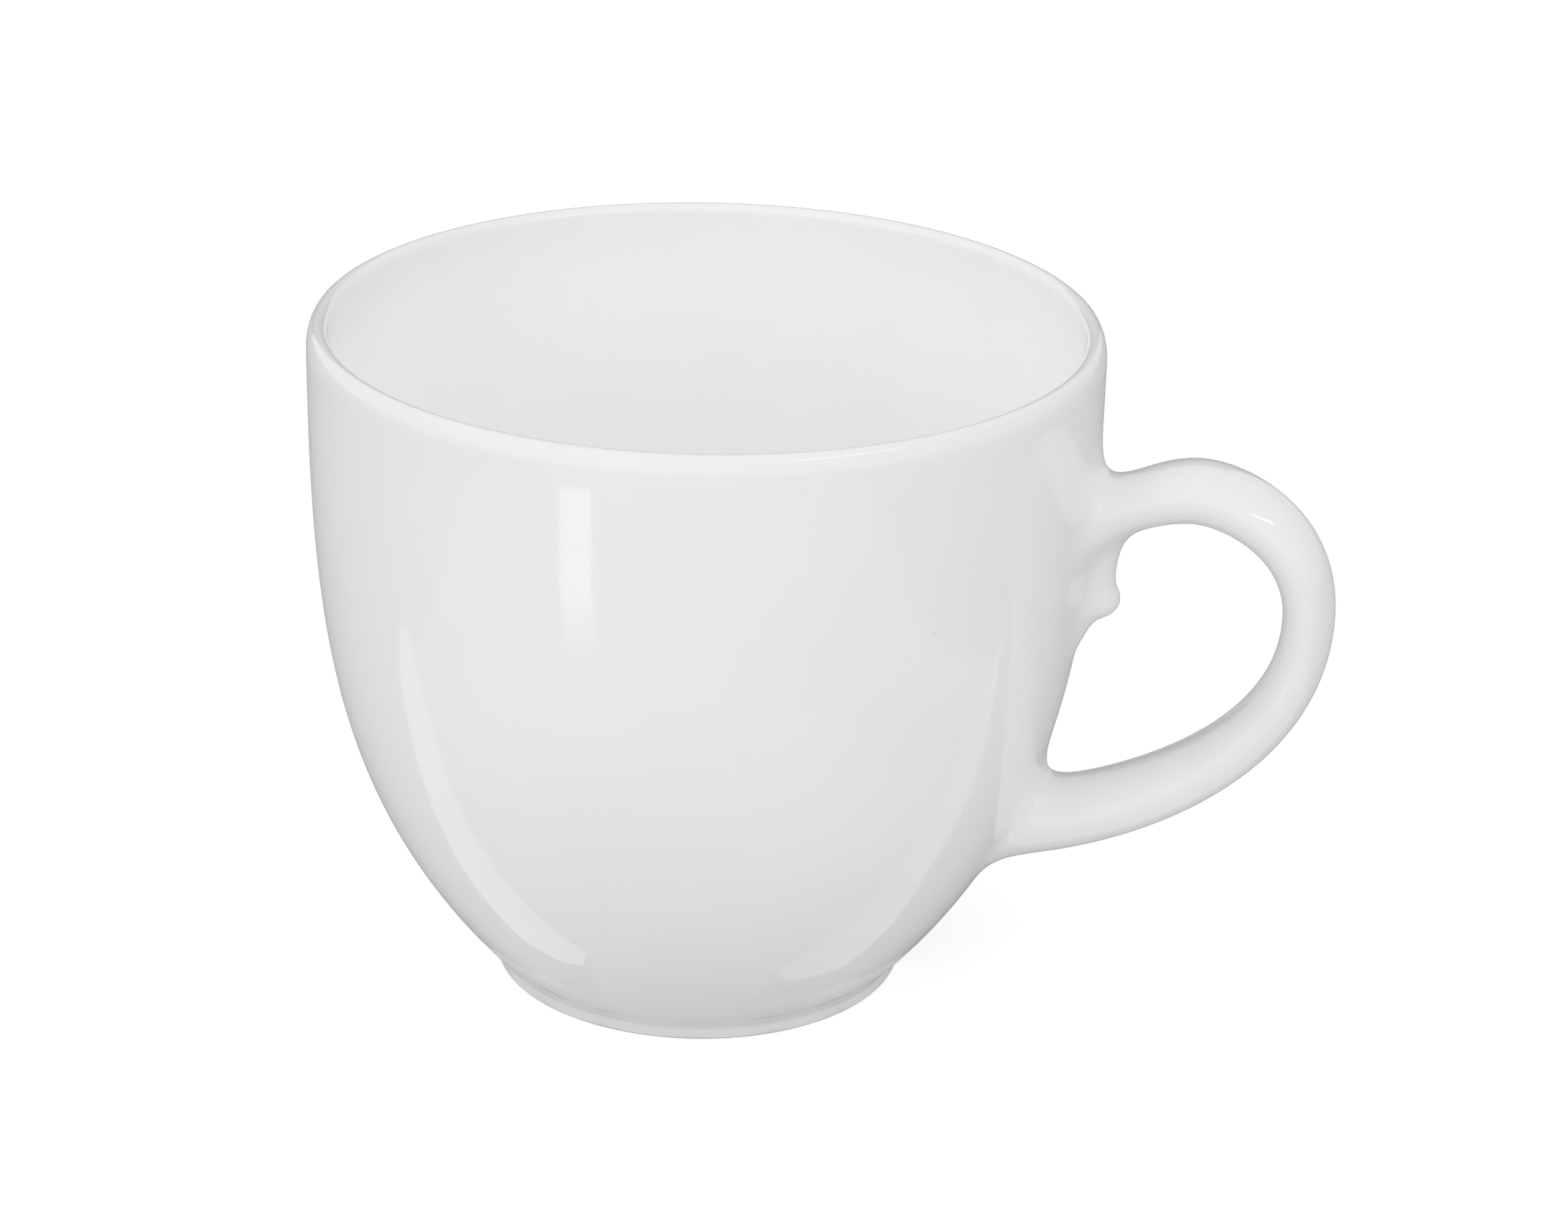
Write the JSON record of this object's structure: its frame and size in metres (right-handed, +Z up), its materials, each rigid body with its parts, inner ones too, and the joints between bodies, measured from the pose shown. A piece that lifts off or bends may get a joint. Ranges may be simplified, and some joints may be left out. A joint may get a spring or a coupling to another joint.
{
  "type": "espresso cup",
  "caption": "Small white glazed porcelain cup with a rounded bowl, thin rounded lip, low foot ring and an oval loop handle with a finger nib under its upper root.",
  "frame": {"origin": "Centre of the foot ring on the plane that it stands on, on the cup's axis.", "axes": "+Z is up along the cup's axis, +X points out through the handle, and the cup is the same on both sides of the XZ plane."},
  "size_m": [0.081, 0.062, 0.0543],
  "materials": {
    "body_porcelain": "clear gloss glaze over white porcelain, unglazed foot",
    "handle_porcelain": "clear gloss glaze over white porcelain",
    "upper_slip": "fired slip under the clear glaze",
    "lower_slip": "fired slip under the clear glaze"
  },
  "bodies": {
    "root": {"cup_body": "body_porcelain", "handle": "handle_porcelain", "upper_slip_joint": "upper_slip", "lower_slip_joint": "lower_slip"}
  },
  "joints": []
}
